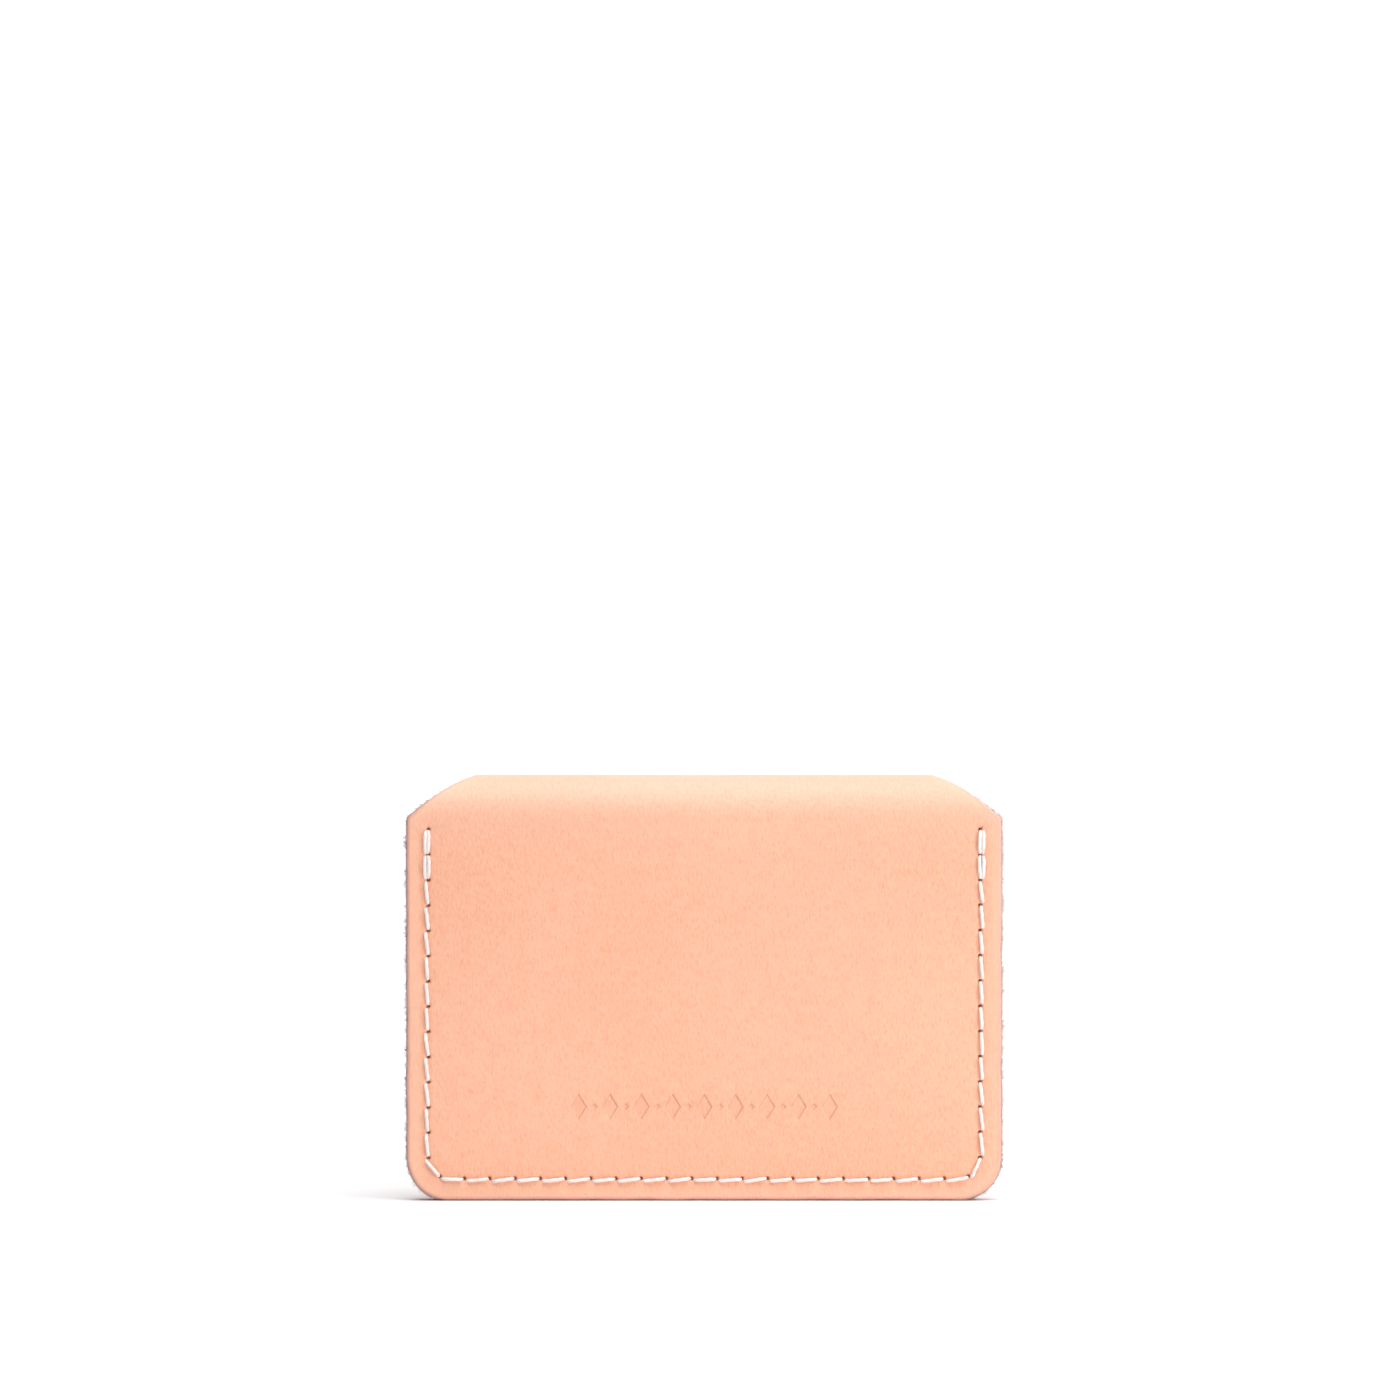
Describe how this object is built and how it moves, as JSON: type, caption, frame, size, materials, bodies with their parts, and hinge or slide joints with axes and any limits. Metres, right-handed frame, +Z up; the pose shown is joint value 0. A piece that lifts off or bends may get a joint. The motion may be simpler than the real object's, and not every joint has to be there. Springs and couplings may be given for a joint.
{
  "type": "card holder",
  "caption": "Stitched leather card holder with a main pocket, a slip pocket and a flap that folds over the top and closes with a snap.",
  "frame": {"origin": "middle of the back panel's bottom edge, midway through the thickness of its leather", "axes": "+Z up along the upright holder, +X across its width, +Y from the plain back towards the flap"},
  "size_m": [0.1068, 0.0177, 0.0762],
  "materials": {
    "leather": "natural vegetable-tanned leather, undyed, smooth grain outside and suede flesh side inside",
    "thread": "waxed cream thread",
    "snap_brass": "satin brass",
    "spring_wire": "drawn wire"
  },
  "bodies": {
    "holder": {"back_panel": "leather", "divider_panel": "leather", "front_panel": "leather", "bobbin_thread": "thread", "needle_thread": "thread", "snap_stud": "snap_brass", "snap_eyelet": "snap_brass"},
    "fold_rear": {"fold_rear": "leather"},
    "fold_front": {"fold_front": "leather"},
    "flap": {"flap": "leather", "snap_cap": "snap_brass", "snap_socket": "snap_brass", "socket_spring": "spring_wire"}
  },
  "joints": [
    {"name": "flap_opening", "type": "hinge", "parent": "holder", "child": "fold_rear", "pos_m": [0, 0.00011, 0.07243], "axis": [1, 0, 0], "range_deg": [0, 60], "deforming": ["socket_spring"]},
    {"name": "fold_top_bend", "type": "hinge", "parent": "fold_rear", "child": "fold_front", "pos_m": [0, 0.00665, 0.0762], "axis": [1, 0, 0], "range_deg": [0, 60]},
    {"name": "fold_front_bend", "type": "hinge", "parent": "fold_front", "child": "flap", "pos_m": [0, 0.01319, 0.07243], "axis": [1, 0, 0], "range_deg": [0, 60]}
  ],
  "couplings": [
    {"joint": "fold_top_bend", "follows": "flap_opening", "ratio": 1},
    {"joint": "fold_front_bend", "follows": "flap_opening", "ratio": 1}
  ]
}
